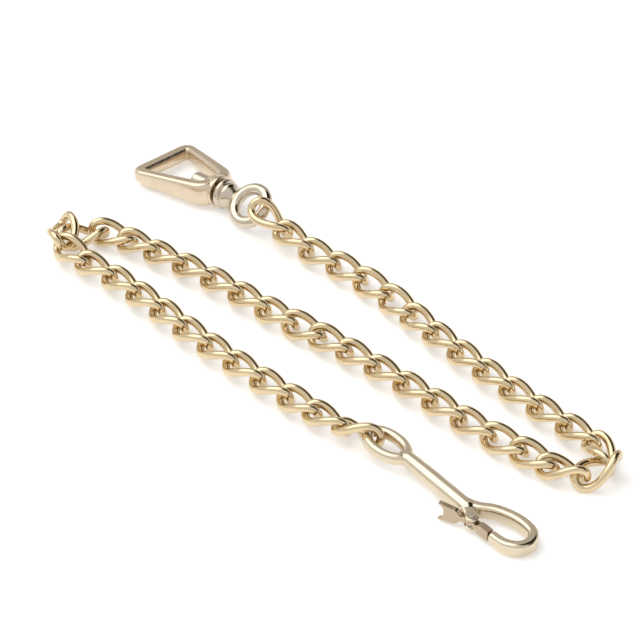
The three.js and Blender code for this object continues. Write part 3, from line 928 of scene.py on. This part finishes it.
def rivet(place):
    face = SLOT_HALF_HEIGHT + EAR_THICKNESS + RIVET_GAP
    end = face + RIVET_HEAD_HEIGHT
    profile = [
        (-end, 0), (-end, RIVET_HEAD_RADIUS), (-face, RIVET_HEAD_RADIUS), (-face, RIVET_RADIUS),
        (face, RIVET_RADIUS), (face, RIVET_HEAD_RADIUS), (end, RIVET_HEAD_RADIUS), (end, 0),
    ]
    obj = new_object("pivot_rivet", stand_up(turned(rounded(profile, 0.25 * MM), 48), PIVOT))
    finished(obj, RIVET_METAL, place, "snap", "trigger_rivet")


def return_spring(place):
    wire = SPRING_WIRE_RADIUS
    inner = RIVET_RADIUS + GAP + wire
    outer = HUB_RADIUS - wire
    route = []
    for i in range(SPRING_STEPS):
        share = i / (SPRING_STEPS - 1)
        angle = 2 * math.pi * SPRING_TURNS * share
        radius = inner + (outer - inner) * share
        x = PIVOT[0] + radius * math.cos(angle)
        y = PIVOT[1] + radius * math.sin(angle)
        route.append(Vector((x, y, 0)))
    coil = level_rod(route, steady(wire), steady(wire), 12)
    level = -SLOT_HALF_HEIGHT + GAP / 2 + SPRING_RISE
    coil.transform(Matrix.Translation((0, 0, level)))
    obj = new_object("trigger_return_spring", coil)
    finished(obj, SPRING_METAL, place, "snap", "trigger_spring")


# ---------- stage, light and camera ----------

def floor():
    bm = bmesh.new()
    corners = ((-1, -1), (1, -1), (1, 1), (-1, 1))
    bm.faces.new([bm.verts.new((x * FLOOR_REACH, y * FLOOR_REACH, 0)) for x, y in corners])
    obj = new_object("floor", bm)
    material = bpy.data.materials.new("floor_white")
    material.use_nodes = True
    shader = material.node_tree.nodes["Principled BSDF"]
    shader.inputs["Base Color"].default_value = (*FLOOR_TONE, 1)
    shader.inputs["Roughness"].default_value = FLOOR_ROUGHNESS
    shader.inputs["Emission Color"].default_value = (1, 1, 1, 1)
    shader.inputs["Emission Strength"].default_value = FLOOR_GLOW
    obj.data.materials.append(material)


def patch(tree, direction, centre, inner, outer, light, below):
    """Lays a round patch of light, soft from inner to outer degrees about centre, over what is below."""
    nearness = tree.nodes.new("ShaderNodeVectorMath")
    nearness.operation = "DOT_PRODUCT"
    nearness.inputs[1].default_value = Vector(centre).normalized()
    tree.links.new(direction, nearness.inputs[0])
    share = tree.nodes.new("ShaderNodeMapRange")
    share.interpolation_type = "SMOOTHSTEP"
    share.inputs["From Min"].default_value = math.cos(math.radians(outer))
    share.inputs["From Max"].default_value = math.cos(math.radians(inner))
    tree.links.new(nearness.outputs["Value"], share.inputs["Value"])
    mix = tree.nodes.new("ShaderNodeMix")
    mix.data_type = "RGBA"
    tree.links.new(share.outputs["Result"], mix.inputs[0])
    if isinstance(below, bpy.types.NodeSocket):
        tree.links.new(below, mix.inputs[6])
    else:
        mix.inputs[6].default_value = (*below, 1)
    mix.inputs[7].default_value = (*light, 1)
    return mix.outputs[2]


def sky():
    """A bright room with a dim wall behind, a softbox up on the left and two dark flags on the right:
    plain studio light that polished metal shows as bright and dark bands."""
    world = bpy.data.worlds.new("studio")
    bpy.context.scene.world = world
    world.use_nodes = True
    tree = world.node_tree
    background = tree.nodes["Background"]
    background.inputs["Strength"].default_value = 1.0
    direction = tree.nodes.new("ShaderNodeTexCoord").outputs["Generated"]
    light = ROOM_LIGHT
    for centre, inner, outer, colour in STUDIO:
        light = patch(tree, direction, centre, inner, outer, colour, light)
    tree.links.new(light, background.inputs["Color"])


def camera():
    low, high = CAD_BOX
    aim = Vector(((low[0] + high[0]) / 2, (low[1] + high[1]) / 2, 0))
    data = bpy.data.cameras.new("camera")
    data.sensor_width = VIEW_SENSOR
    data.lens = VIEW_LENS
    obj = bpy.data.objects.new("camera", data)
    bpy.context.scene.collection.objects.link(obj)
    line = Vector((0, math.cos(VIEW_ELEVATION), -math.sin(VIEW_ELEVATION)))
    obj.location = aim + VIEW_AIM_SHIFT - line * VIEW_DISTANCE
    obj.rotation_euler = (math.pi / 2 - VIEW_ELEVATION, 0, 0)
    bpy.context.scene.camera = obj
    bpy.context.scene.view_settings.view_transform = "Standard"


camera()
sky()
floor()
chain()
SWIVEL = swivel_frame()
strap_loop(SWIVEL)
swivel_eye(SWIVEL)
SNAP = snap_frame()
snap_body(SNAP)
trigger_lever(SNAP)
rivet(SNAP)
return_spring(SNAP)
